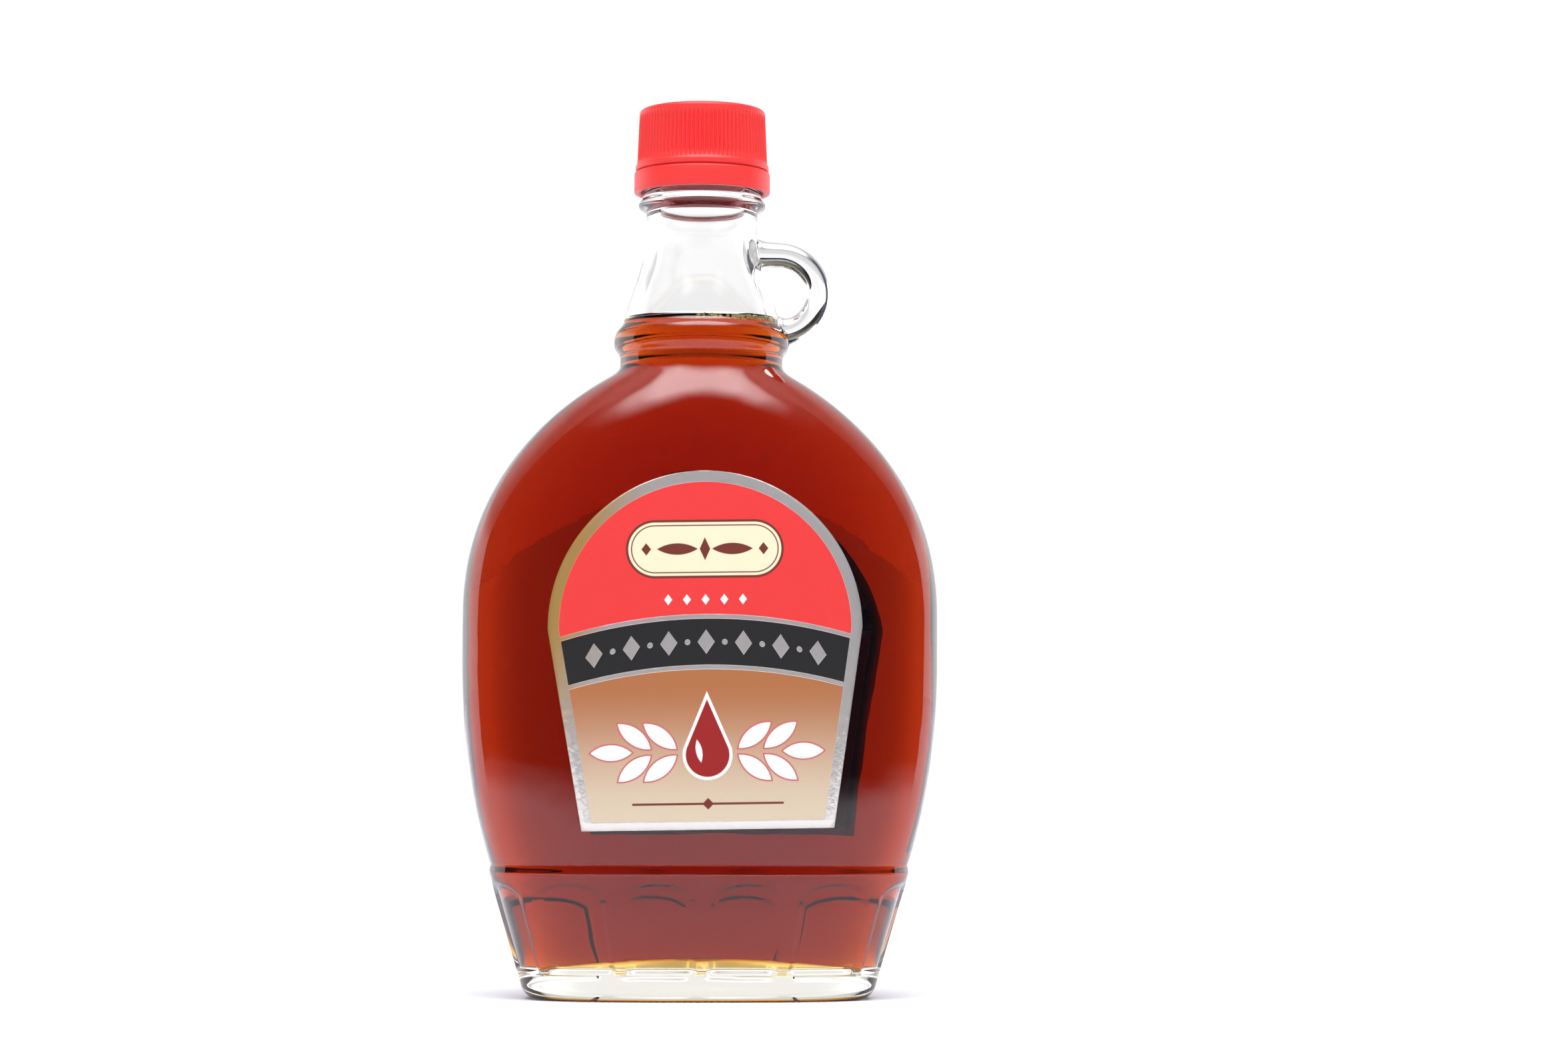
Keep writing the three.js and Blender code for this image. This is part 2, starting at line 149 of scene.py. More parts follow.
# Looks of the materials. Colours are shares of the light, and a bump's height is in metres.
GLASS_COLOUR = (0.99, 0.99, 0.985, 1)
CLEAR_COLOUR = (1, 1, 1, 1)
FOAM_LOOK = dict(colour=(0.95, 0.84, 0.5, 1), roughness=0.05, ior=1.35, transmission=0.6)
CAP_LOOK = dict(colour=(0.68, 0.019, 0.017, 1), roughness=0.42, ior=1.5)
STAGE_LOOK = dict(colour=(0.85, 0.83, 0.88, 1), roughness=0.9)
FLAG_COLOUR = (0.08, 0.07, 0.09, 1)
LABEL_SPECULAR = 0.15
GLASS_WAVE = dict(scale=45, height=0.0004)
FINE_GRAIN = dict(scale=2500, height=0.00002)

# Fineness of the meshes. Wall rows are pairs: the height up to which they run, and how far apart they are.
COLUMNS_PER_FLUTE = 21
COLUMNS_PER_RIB = 8
SYRUP_COLUMNS = 144
POLE_ROWS = 10
RING_ROWS = 3
HEEL_ROWS = 9
CORNER_ROWS = 12
RIB_ROWS = 24
CROWN_ROWS = 8
OUTER_START = 0.5
OUTER_ROWS = ((28, 0.5), (32, 0.3), (100, 2.5), (140, 1.3), (158, 0.45), (181, 1.5), (188, 0.25))
FINISH_SPACING = 4
INNER_START = 0.7
INNER_ROWS = ((32, 2), (100, 3), (140, 1.6))
INNER_NECK_SPACING = 1.2
MENISCUS_ROWS = dict(near=(0.2, 4, 16), far=(5, 14, 6))
LABEL_GRID = dict(rows=24, columns=49, arch_rows=40, arch_top=88.5)
SOFT_STEPS = 9
WALK_STEPS = 2880
BOUNCES = 32

# Camera, recovered from the photograph, with the near limit of its view in metres
CLIP_START = 0.01
IMAGE_WIDTH = 2353
IMAGE_HEIGHT = 1568
SENSOR_WIDTH = 36.0
FOCAL_PIXELS = 5696
CAMERA_DISTANCE = 880
CAMERA_HEIGHT = 46.8
CAMERA_AZIMUTH = math.radians(-1.9)
CAMERA_ROLL = math.radians(0.18)
AXIS_PIXEL = (1051, 1192.3)


def smoothstep(value, low, high):
    step = np.clip((value - low) / (high - low), 0, 1)
    return step * step * (3 - 2 * step)


def mix(start, end, share):
    return start + (end - start) * share


def signed_power(value, power):
    return np.sign(value) * np.abs(value) ** power


def softened(profile, z, width):
    """Mean of a profile over a short stretch of height, which rounds its corners."""
    return np.mean([profile(z + width * step) for step in np.linspace(-1, 1, SOFT_STEPS)], axis=0)


# Shape of the glass

def body_half(side, z):
    """Flared foot, a narrow land over it, and the rounded body above."""
    foot = mix(side["foot"], side["base_top"] + LEDGE, z / LAND_FOOT)
    land = side["base_top"] + LEDGE * (LAND_TOP - z) / (LAND_TOP - LAND_FOOT)
    low = 1 - (np.clip(side["low"] - z, 0, side["low_run"]) / side["low_run"]) ** side["low_power"]
    high = 1 - (np.clip(z - side["high"], 0, side["high_run"]) / side["high_run"]) ** side["high_power"]
    body = side["reach"] * np.where(z < side["low"], low ** 0.5, high ** (1 / side["high_root"]))
    return np.where(z < LAND_FOOT, foot, np.where(z < LAND_TOP, land, body))


def neck_radius(z):
    return mix(NECK["foot_radius"], NECK["radius"], smoothstep(z, NECK["taper_from"], NECK["taper_to"]))


def glass_half(side, z):
    """Body and neck with a soft hollow between them, without beads, flutes or finish."""
    body = body_half(side, z)
    neck = neck_radius(z)
    blend = np.clip(1 - np.abs(body - neck) / SHOULDER_BLEND, 0, None)
    return np.maximum(body, neck) + SHOULDER_BLEND * blend * blend / 4


def squareness(z):
    share = smoothstep(z, SQUARE_LEVELS["body_to"], SQUARE_LEVELS["neck_from"])
    return mix(SQUARENESS["body"], SQUARENESS["neck"], share)


def bead_rise(z):
    """How far the rounded rings of the neck stand out."""
    rise = np.zeros_like(z)
    for bead in BEADS:
        def hard(level):
            off = np.clip(np.abs(level - bead["at"]) / bead["half"], 0, 1)
            return bead["rise"] * np.sqrt(1 - off * off)
        rise = np.maximum(rise, softened(hard, z, bead["soft"]))
    return rise


def outer_half(side, z):
    """Half of the outside of the glass with beads, collar and finish, its edges softened."""
    def hard(level):
        plain = glass_half(side, level) + bead_rise(level)
        collar = np.where(level > COLLAR["start"], np.maximum(plain, COLLAR["radius"]), plain)
        return np.where(level > COLLAR["end"], FINISH_RADIUS, collar)
    return softened(hard, z, EDGE_SOFTNESS)


def wall_at(side, z):
    """Thickness of the glass, which is thinner on the two narrow sides of the body."""
    body = mix(WALL, side["wall"], smoothstep(z, WALL_LEVELS["foot_to"], WALL_LEVELS["body_from"]))
    return mix(body, WALL, smoothstep(z, WALL_LEVELS["body_to"], WALL_LEVELS["neck_from"]))


def inner_half(side, z):
    """Half of the cavity: one wall inside the glass, rounded off where it meets the floor."""
    off = np.clip((FLOOR["edge"] + FLOOR["round"] - z) / FLOOR["round"], 0, 1)
    corner = FLOOR["round"] * (1 - np.sqrt(1 - off * off))
    return softened(lambda level: glass_half(side, level), z, INNER_SOFTNESS) - wall_at(side, z) - corner


def section(half_across, half_through, power, turns):
    """Points of plan sections, one row for each height, for turns from the front round by +X."""
    x = half_across[:, None] * signed_power(np.sin(turns)[None, :], 2 / power[:, None])
    y = -half_through[:, None] * signed_power(np.cos(turns)[None, :], 2 / power[:, None])
    return x, y


def even_turns(fractions):
    """Turns at which an even walk round the foot passes the given fractions of its length."""
    turns = np.linspace(0, 2 * np.pi, WALK_STEPS + 1)
    half = np.array([ACROSS["base_top"]]), np.array([THROUGH["base_top"]])
    x, y = section(*half, np.array([SQUARENESS["body"]]), turns)
    lengths = np.concatenate([[0], np.cumsum(np.hypot(np.diff(x[0]), np.diff(y[0])))])
    return np.interp(fractions * lengths[-1], lengths, turns)


def flute_depth(places, z):
    """Depth of the round-topped flutes of the foot, at places across each flute."""
    from_ridge = np.minimum(places, 1 - places)[None, :]
    across = smoothstep(from_ridge, FLUTE["ridge"], FLUTE["ridge"] + FLUTE["flank"])
    from_middle = np.clip(np.abs(1 - 2 * places) / (1 - 2 * FLUTE["ridge"]), 0, 1)[None, :]
    top = FLUTE["top"] - FLUTE["arch_rise"] * (1 - np.sqrt(1 - from_middle ** 2))
    below = 1 - smoothstep(z[:, None], top - FLUTE["fade"], top)
    above = smoothstep(z[:, None], FLUTE["bottom"] - FLUTE["fade"], FLUTE["bottom"])
    return FLUTE["depth"] * across * below * above


# Meshes

def make_object(name, vertices, faces):
    mesh = bpy.data.meshes.new(name)
    mesh.from_pydata(vertices.tolist(), [], faces)
    mesh.shade_smooth()
    piece = bpy.data.objects.new(name, mesh)
    bpy.context.scene.collection.objects.link(piece)
    return piece


def ring_faces(rows, columns, first=0):
    """Quads between rows of points that close on themselves."""
    faces = []
    for row in range(rows - 1):
        low = first + row * columns
        for column in range(columns):
            after = (column + 1) % columns
            faces.append((low + column, low + after, low + columns + after, low + columns + column))
    return faces


def lathe_object(name, points, start_pole, end_pole):
    """Closed piece from rows of points (rows, columns, xyz in millimetres) between two poles."""
    rows, columns, _ = points.shape
    vertices = np.concatenate([points.reshape(-1, 3), [start_pole, end_pole]]) * MM
    faces = ring_faces(rows, columns)
    start = rows * columns
    last = (rows - 1) * columns
    for column in range(columns):
        after = (column + 1) % columns
        faces.append((start, after, column))
        faces.append((last + column, last + after, start + 1))
    return make_object(name, vertices, faces)


def stack(fractions, z, half_at, turns, depth=0):
    """Rows of points at fractions of the sections at the given heights."""
    x, y = section(half_at(ACROSS, z), half_at(THROUGH, z), squareness(z), turns)
    length = np.hypot(x, y)
    share = (1 - depth / length) * fractions[:, None]
    return np.stack([x * share, y * share, np.broadcast_to(z[:, None], x.shape)], axis=-1)


def walls(start, *spans):
    """Heights of a wall's rows from a start and (end, spacing) pairs."""
    parts = []
    for end, spacing in spans:
        count = max(2, round((end - start) / spacing) + 1)
        parts.append(np.linspace(start, end, count)[:-1])
        start = end
    return np.concatenate([*parts, [start]])


def outer_points(places, turns):
    """Outside of the glass from the middle of the underside up to the lip, with flutes and stipple."""
    dome = np.arange(1, POLE_ROWS) / POLE_ROWS
    ring = np.linspace(RING["inner"], RING["outer"], RING_ROWS + 1)[:-1]
    heel = np.linspace(0, np.pi / 2, HEEL_ROWS)
    fractions = np.concatenate([dome * RING["inner"], ring, mix(RING["outer"], 1, np.sin(heel))])
    z = np.concatenate([PUSH_UP * (1 - dome ** 2), np.zeros(RING_ROWS), HEEL * (1 - np.cos(heel))])
    finish = (LIP["top"] - LIP["round"], FINISH_SPACING)
    wall = walls(HEEL + OUTER_START, *OUTER_ROWS, finish)
    z = np.concatenate([z, wall, [LIP["top"]]])
    fractions = np.concatenate([fractions, np.ones_like(wall), [1 - LIP["round"] / FINISH_RADIUS]])
    points = stack(fractions, z, outer_half, turns, flute_depth(places, z))
    standing = np.flatnonzero(points[:, 0, 2] < STIPPLE["height"] / 2)
    points[standing, ::STIPPLE["columns"], 2] += STIPPLE["height"]
    return points


def cavity_points(turns, top, grow=0.0):
    """Inside of the glass from the floor's middle up to a height, grown outwards if asked."""
    floor = np.arange(1, POLE_ROWS) / POLE_ROWS
    corner = FLOOR["edge"] + FLOOR["round"] * (1 - np.cos(np.linspace(0, np.pi / 2, CORNER_ROWS)))
    wall = walls(corner[-1] + INNER_START, *INNER_ROWS, (top, INNER_NECK_SPACING))
    z = np.concatenate([mix(FLOOR["middle"], FLOOR["edge"], floor ** 2), corner, wall])
    fractions = np.concatenate([floor, np.ones(len(corner) + len(wall))])
    z_drop = np.where(z < FLOOR["edge"] + FLOOR["round"], grow, 0)
    level = np.maximum(z, FLOOR["edge"])
    points = stack(fractions, level, lambda side, at: inner_half(side, at) + grow, turns)
    points[:, :, 2] = (z - z_drop)[:, None]
    return points


def apply_union(target, tool):
    """Joins a second closed piece to the first as one mesh."""
    union = target.modifiers.new("union", "BOOLEAN")
    union.operation = "UNION"
    union.solver = "MANIFOLD"
    union.object = tool
    graph = bpy.context.evaluated_depsgraph_get()
    joined = bpy.data.meshes.new_from_object(target.evaluated_get(graph))
    target.modifiers.clear()
    target.data = joined
    joined.shade_smooth()
    bpy.data.objects.remove(tool)


def loop_object():
    """Finger loop: a bar along two arms and a half circle, thicker where it runs into the neck."""
    top_arm = LOOP["x"] - LOOP["top_inset"]
    arc = math.pi * LOOP["radius"]
    bottom_arm = LOOP["x"] - LOOP["bottom_inset"]
    run = np.linspace(0, top_arm + arc + bottom_arm, LOOP_STEPS)
    angle = np.clip((run - top_arm) / LOOP["radius"], 0, math.pi)
    inward = np.maximum(top_arm - run, 0) + np.maximum(run - top_arm - arc, 0)
    x = LOOP["x"] + LOOP["radius"] * np.sin(angle) - inward
    z = LOOP["z"] + LOOP["radius"] * np.cos(angle)
    clear = np.maximum(x - neck_radius(z), 0)
    radius = LOOP["bar"] * (1 + LOOP_FLARE["share"] * np.exp(-clear / LOOP_FLARE["length"]))
    around = 2 * np.pi * np.arange(LOOP_SIDES) / LOOP_SIDES
    out = radius[:, None] * np.cos(around)[None, :]
    points = np.stack([
        x[:, None] + out * np.sin(angle)[:, None],
        radius[:, None] * np.sin(around)[None, :],
        z[:, None] + out * np.cos(angle)[:, None],
    ], axis=-1)
    return lathe_object("loop", points, (x[0], 0, z[0]), (x[-1], 0, z[-1]))


def bottle_object():
    """Glass with its cavity and finger loop, as one closed mesh."""
    columns = np.arange(FLUTES * COLUMNS_PER_FLUTE)
    places = (columns % COLUMNS_PER_FLUTE) / COLUMNS_PER_FLUTE
    turns = even_turns(columns / len(columns))
    outside = outer_points(places, turns)
    inside = cavity_points(turns, LIP["top"])[::-1]
    points = np.concatenate([outside, inside])
    bottle = lathe_object("glass_bottle", points, (0, 0, PUSH_UP), (0, 0, FLOOR["middle"]))
    apply_union(bottle, loop_object())
    return bottle


def mark_wet_faces(bottle):
    """Gives the faces of the cavity below the fill level the second material."""
    centres = np.empty(len(bottle.data.polygons) * 3)
    bottle.data.polygons.foreach_get("center", centres)
    x, y, z = centres.reshape(-1, 3).T / MM
    power = squareness(z)
    across = glass_half(ACROSS, z) - wall_at(ACROSS, z) / 2
    through = glass_half(THROUGH, z) - wall_at(THROUGH, z) / 2
    inside = (np.abs(x) / across) ** power + (np.abs(y) / through) ** power < 1
    wet = inside & (z > FLOOR["edge"] / 2) & (z < FILL_LEVEL)
    bottle.data.polygons.foreach_set("material_index", wet.astype(np.int32))


def fill_radius():
    """Half of the neck's bore where the syrup meets it."""
    return float(inner_half(ACROSS, np.array([FILL_LEVEL]))[0])


def syrup_object():
    """Liquid up to the level shown, its rim drawn up a little where it meets the glass."""
    turns = even_turns(np.arange(SYRUP_COLUMNS) / SYRUP_COLUMNS)
    body = cavity_points(turns, FILL_LEVEL, SYRUP_OVERLAP)
    inward = np.concatenate([np.linspace(*span) for span in MENISCUS_ROWS.values()])
    radius = fill_radius()
    dip = MENISCUS["rise"] * (1 - np.exp(-inward / MENISCUS["reach"]))
    top = body[-1][None] * (1 - inward / radius)[:, None, None]
    top[:, :, 2] = (FILL_LEVEL - dip)[:, None]
    points = np.concatenate([body, top])
    syrup = lathe_object("syrup_fill", points, (0, 0, FLOOR["middle"]), (0, 0, FILL_LEVEL - MENISCUS["rise"]))
    free = np.zeros(len(syrup.data.vertices))
    free[body.shape[0] * body.shape[1]:] = 1
    # The last but one point is the middle of the floor, which lies on glass.
    free[-2] = 0
    syrup.data.attributes.new(FREE_SURFACE, "FLOAT", "POINT").data.foreach_set("value", free)
    return syrup


def foam_object():
    """Small bubbles at the rim of the syrup, gathered on the handle's side of the front."""
    chance = np.random.default_rng(FOAM["seed"])
    turns = np.radians(chance.triangular(*FOAM["turns"], FOAM["count"]))
    radii = chance.uniform(*FOAM["radii"], FOAM["count"])
    drops = chance.uniform(0, FOAM["drop"], FOAM["count"])
    bubbles = bmesh.new()
    for turn, radius, drop_down in zip(turns, radii, drops):
        reach = fill_radius() - radius - FOAM["gap"]
        level = FILL_LEVEL - drop_down
        place = Matrix.Translation((reach * MM * math.sin(turn), -reach * MM * math.cos(turn), level * MM))
        size = radius * MM
        bmesh.ops.create_icosphere(bubbles, subdivisions=FOAM["fineness"], radius=size, matrix=place)
    mesh = bpy.data.meshes.new("syrup_foam")
    bubbles.to_mesh(mesh)
    bubbles.free()
    mesh.shade_smooth()
    foam = bpy.data.objects.new("syrup_foam", mesh)
    bpy.context.scene.collection.objects.link(foam)
    return foam


def cap_object():
    """Ribbed screw cap over a tamper band. Profile rows are (radius, height, depth of the ribs there)."""
    columns = CAP_RIBS["count"] * COLUMNS_PER_RIB
    turns = 2 * np.pi * np.arange(columns) / columns
    tooth = 0.5 + 0.5 * np.cos(CAP_RIBS["count"] * turns)
    slit_top = CAP_BAND["top"] + CAP_SLIT["height"]
    soft = CAP_ROUNDING
    bore = CAP_BORE
    inner = [
        (bore["middle"], bore["top"], 0),
        (bore["radius"], bore["top"], 0),
        (bore["radius"], bore["step"] + bore["slope"], 0),
        (bore["band"], bore["step"], 0),
        (bore["band"], CAP["bottom"] + bore["flare_height"], 0),
        (bore["band"] + bore["flare"], CAP["bottom"], 0),
    ]
    outer = CAP_BAND["radius"]
    band = [
        (outer - soft["band"], CAP["bottom"], 0),
        (outer - soft["corner"], CAP["bottom"] + soft["corner"], 0),
        (outer, CAP["bottom"] + soft["band"], 0),
        (outer, CAP_BAND["top"] - soft["band"], 0),
        (outer - soft["corner"], CAP_BAND["top"] - soft["corner"], 0),
        (outer - soft["band"], CAP_BAND["top"], 0),
        (CAP_SLIT["radius"], CAP_BAND["top"], 0),
        (CAP_SLIT["radius"], slit_top, 0),
    ]
    lip = [
        (CAP_LIP["radius"] - soft["lip"], slit_top, 0),
        (CAP_LIP["radius"], slit_top + soft["lip"], 0),
        (CAP_LIP["radius"], CAP_LIP["top"] - soft["lip_shoulder"], 0),
        (CAP_LIP["radius"] - soft["lip_corner"], CAP_LIP["top"] - soft["lip_edge"], 0),
        (CAP_RIBS["foot"] + CAP_RIB_GAP["out"], CAP_LIP["top"], 0),
    ]
    ribs = []
    for up in np.linspace(0, 1, RIB_ROWS):
        height = mix(CAP_LIP["top"] + CAP_RIB_GAP["up"], CAP["shoulder"], up)
        share = min(1, CAP_RIB_FADE["foot"] * up, CAP_RIB_FADE["head"] * (1 - up))
        ribs.append((mix(CAP_RIBS["foot"], CAP_RIBS["head"], up), height, share))
    round_off = np.linspace(0, np.pi / 2, CROWN_ROWS)[1:]
    drop = CAP["top"] - CAP["shoulder"]
    crown = [(CAP_RIBS["head"] - drop * (1 - math.cos(turn)), CAP["shoulder"] + drop * math.sin(turn), 0)
             for turn in round_off]
    flat = [(radius, CAP["top"], 0) for radius in CAP_TOP_RADII]
    rows = np.array([*inner, *band, *lip, *ribs, *crown, *flat])
    radius = rows[:, :1] - CAP_RIBS["depth"] * rows[:, 2:] * (1 - tooth)[None, :]
    points = np.stack([radius * np.sin(turns), -radius * np.cos(turns),
                       np.broadcast_to(rows[:, 1:2], radius.shape)], axis=-1)
    return lathe_object("screw_cap", points, (0, 0, CAP_BORE["top"]), (0, 0, CAP["top"]))


def label_object(name, label):
    """Thin sheet laid on the glass: straight sides below, a half-round arch above."""
    up = np.arange(LABEL_GRID["rows"]) / LABEL_GRID["rows"]
    arch = np.radians(np.linspace(0, LABEL_GRID["arch_top"], LABEL_GRID["arch_rows"]))
    heights = np.concatenate([mix(LABEL_BOTTOM - LABEL_SPRINGING, 0, up), label["radius"] * np.sin(arch)])
    halves = np.concatenate([mix(label["bottom_half"], label["radius"], up), label["radius"] * np.cos(arch)])
    across = np.linspace(-1, 1, LABEL_GRID["columns"])
    flat_x = halves[:, None] * across[None, :]
    flat_z = np.broadcast_to(heights[:, None], flat_x.shape)
    tilt = math.radians(label["tilt"])
    x = label["x"] + flat_x * math.cos(tilt) - flat_z * math.sin(tilt)
    z = LABEL_SPRINGING + flat_x * math.sin(tilt) + flat_z * math.cos(tilt)
    power = squareness(z)
    off = np.abs(x) / outer_half(ACROSS, z)
    distance = outer_half(THROUGH, z) * (1 - off ** power) ** (1 / power)
    sheets = [np.stack([x, label["face"] * (distance + lift), z], axis=-1)
              for lift in (LABEL_GAP, LABEL_GAP + LABEL_THICKNESS)]
    rows, columns = x.shape
    count = rows * columns
    inner = []
    outer = []
    for row in range(rows - 1):
        for column in range(columns - 1):
            corner = row * columns + column
            quad = (corner, corner + 1, corner + columns + 1, corner + columns)
            outer.append(tuple(count + index for index in quad))
            inner.append(quad[::-1])
    rim = [*range(columns), *range(2 * columns - 1, count, columns),
           *range(count - 2, count - columns - 1, -1), *range(count - 2 * columns, 0, -columns)]
    edge = [(start, end, count + end, count + start) for start, end in zip(rim, rim[1:] + rim[:1])]
    faces = inner + outer + edge
    if label["face"] > 0:
        faces = [face[::-1] for face in faces]
    return make_object(name, np.concatenate([sheet.reshape(-1, 3) for sheet in sheets]) * MM, faces)


# Materials

def new_material(name):
    material = bpy.data.materials.new(name)
    material.use_nodes = True
    shader = material.node_tree.nodes["Principled BSDF"]
    return material, shader


class Field:
    """A number that varies over a surface: a shader socket that plain arithmetic combines."""

    def __init__(self, tree, socket):
        self.tree = tree
        self.socket = socket

    def calculate(self, operation, *others):
        node = self.tree.nodes.new("ShaderNodeMath")
        node.operation = operation
        for slot, value in zip(node.inputs, (self, *others)):
            if isinstance(value, Field):
                self.tree.links.new(value.socket, slot)
            else:
                slot.default_value = value
        return Field(self.tree, node.outputs[0])

    def __add__(self, other):
        return self.calculate("ADD", other)

    def __sub__(self, other):
        return self.calculate("SUBTRACT", other)

    def __mul__(self, other):
        return self.calculate("MULTIPLY", other)

    def __truediv__(self, other):
        return self.calculate("DIVIDE", other)

    def __radd__(self, other):
        return self + other

    def __rmul__(self, other):
        return self * other

    def __rsub__(self, other):
        return self * -1 + other

    def __abs__(self):
        return self.calculate("ABSOLUTE")

    def least(self, other):
        return self.calculate("MINIMUM", other)

    def most(self, other):
        return self.calculate("MAXIMUM", other)

    def length(self, other):
        return (self * self + other * other).calculate("SQRT")

    def repeat(self, period):
        return self.calculate("WRAP", period / 2, -period / 2)

    def step(self, low, high):
        """Smooth step from 0 below one level to 1 above another."""
        node = self.tree.nodes.new("ShaderNodeMapRange")
        node.interpolation_type = "SMOOTHSTEP"
        node.inputs["From Min"].default_value = low
        node.inputs["From Max"].default_value = high
        self.tree.links.new(self.socket, node.inputs["Value"])
        return Field(self.tree, node.outputs["Result"])


def coordinates(tree, kind):
    places = tree.nodes.new("ShaderNodeTexCoord")
    parts = tree.nodes.new("ShaderNodeSeparateXYZ")
    tree.links.new(places.outputs[kind], parts.inputs["Vector"])
    return [Field(tree, parts.outputs[axis]) for axis in "XYZ"]


def noise_field(tree, scale, detail=2.0):
    places = tree.nodes.new("ShaderNodeTexCoord")
    noise = tree.nodes.new("ShaderNodeTexNoise")
    noise.inputs["Scale"].default_value = scale
    noise.inputs["Detail"].default_value = detail
    tree.links.new(places.outputs["Object"], noise.inputs["Vector"])
    return Field(tree, noise.outputs["Fac"])


def add_bump(shader, height, distance):
    tree = height.tree
    bump = tree.nodes.new("ShaderNodeBump")
    bump.inputs["Distance"].default_value = distance
    tree.links.new(height.socket, bump.inputs["Height"])
    tree.links.new(bump.outputs["Normal"], shader.inputs["Normal"])


def add_absorption(material, shares):
    """Makes a clear material take up red, green and blue light by these shares of each millimetre."""
    tree = material.node_tree
    most = max(shares)
    absorb = tree.nodes.new("ShaderNodeVolumeAbsorption")
    absorb.inputs["Color"].default_value = (*(1 - share / most for share in shares), 1)
    absorb.inputs["Density"].default_value = most / MM
    tree.links.new(absorb.outputs["Volume"], tree.nodes["Material Output"].inputs["Volume"])


def glass_material():
    """Clear moulded glass, a little wavy, and faintly straw-coloured where it is thick."""
    material, shader = new_material("glass")
    shader.inputs["Base Color"].default_value = GLASS_COLOUR
    shader.inputs["Roughness"].default_value = 0.0
    shader.inputs["IOR"].default_value = GLASS_IOR
    shader.inputs["Transmission Weight"].default_value = 1.0
    add_bump(shader, noise_field(material.node_tree, GLASS_WAVE["scale"]), GLASS_WAVE["height"])
    add_absorption(material, GLASS_ABSORPTION)
    return material


def wet_glass_material():
    """Inside of the glass where syrup wets it: light passes on unbent to the skin of the syrup."""
    material, shader = new_material("wet_glass")
    shader.inputs["Base Color"].default_value = CLEAR_COLOUR
    shader.inputs["Roughness"].default_value = 0.0
    shader.inputs["IOR"].default_value = 1.0
    shader.inputs["Transmission Weight"].default_value = 1.0
    return material


def syrup_material():
    """Clear amber liquid: thin layers are gold, thick ones deep red-brown.

    Its skin bends light as glass against syrup, and as air against syrup on the free surface.
    """
    material, shader = new_material("syrup")
    tree = material.node_tree
    shader.inputs["Base Color"].default_value = CLEAR_COLOUR
    shader.inputs["Roughness"].default_value = 0.0
    shader.inputs["Transmission Weight"].default_value = 1.0
    shader.inputs["IOR"].default_value = SYRUP_IOR
    free = tree.nodes.new("ShaderNodeAttribute")
    free.attribute_name = FREE_SURFACE
    wall_ior = SYRUP_IOR / GLASS_IOR
    bend = wall_ior + Field(tree, free.outputs["Fac"]) * (SYRUP_IOR - wall_ior)
    tree.links.new(bend.socket, shader.inputs["IOR"])
    add_absorption(material, SYRUP_ABSORPTION)
    return material


def foam_material():
    """Golden bubbles with thin walls."""
    material, shader = new_material("foam")
    shader.inputs["Base Color"].default_value = FOAM_LOOK["colour"]
    shader.inputs["Roughness"].default_value = FOAM_LOOK["roughness"]
    shader.inputs["IOR"].default_value = FOAM_LOOK["ior"]
    shader.inputs["Transmission Weight"].default_value = FOAM_LOOK["transmission"]
    add_bump(shader, noise_field(material.node_tree, FINE_GRAIN["scale"]), FINE_GRAIN["height"])
    return material


def cap_material():
    """Semi-gloss red plastic with a fine grain."""
    material, shader = new_material("cap_plastic")
    shader.inputs["Base Color"].default_value = CAP_LOOK["colour"]
    shader.inputs["Roughness"].default_value = CAP_LOOK["roughness"]
    shader.inputs["IOR"].default_value = CAP_LOOK["ior"]
    add_bump(shader, noise_field(material.node_tree, FINE_GRAIN["scale"]), FINE_GRAIN["height"])
    return material


# Printed labels

def tone(red, green, blue):
    """Colour of a print from how it looks in the picture, in parts of 255."""
    looks = np.array([red, green, blue]) / 255
    linear = np.where(looks < 0.04045, looks / 12.92, ((looks + 0.055) / 1.055) ** 2.4)
    return (*(linear * PRINT_SHARE), 1)


INK = dict(
    red=tone(239, 66, 65), deep_red=tone(222, 50, 52), tan=tone(180, 116, 74), pale_tan=tone(222, 206, 180),
    black=tone(44, 44, 45), cream=tone(246, 238, 203), brown=tone(122, 58, 48), white=tone(250, 250, 250),
    drop=tone(160, 40, 38), rim=tone(206, 108, 108), silver=tone(248, 246, 240), gold=tone(255, 208, 122),
)


def inside(distance):
    """1 where a distance is below zero and 0 above, with a narrow soft edge."""
    return 1 - distance.step(-PRINT_EDGE, PRINT_EDGE)


def line(distance, width):
    return inside(abs(distance) - width / 2)


def paint(tree, under, mask, colour):
    """Lays a colour over what is under it, where the mask is 1."""
    node = tree.nodes.new("ShaderNodeMix")
    node.data_type = "RGBA"
    tree.links.new(mask.socket, node.inputs["Factor"])
    for slot, value in ((node.inputs[6], under), (node.inputs[7], colour)):
        if isinstance(value, bpy.types.NodeSocket):
            tree.links.new(value, slot)
        else:
            slot.default_value = value
    return node.outputs[2]


def stadium(x, z, straight, radius):
    return (abs(x) - straight).most(0).length(z) - radius


def diamond(x, z, half_wide, half_tall):
    return (abs(x) / half_wide + abs(z) / half_tall - 1) * min(half_wide, half_tall)


def leaf(x, z, centre, half_long, half_wide, turn):
    """Lens between two arcs, its long axis turned up from +X."""
    right = x - centre[0]
    up = z - centre[1]
    along = right * math.cos(turn) + up * math.sin(turn)
    across = up * math.cos(turn) - right * math.sin(turn)
    radius = (half_long ** 2 + half_wide ** 2) / (2 * half_wide)
    return along.length(abs(across) + (radius - half_wide)) - radius


def drop(x, z, radius, tip):
    """Round drop about the origin with straight flanks up to a tip."""
    lean = math.asin(radius / tip)
    flank = abs(x) * math.cos(lean) + z * math.sin(lean) - radius
    return (x.length(z) - radius).least(flank.most(radius * math.sin(lean) - z))


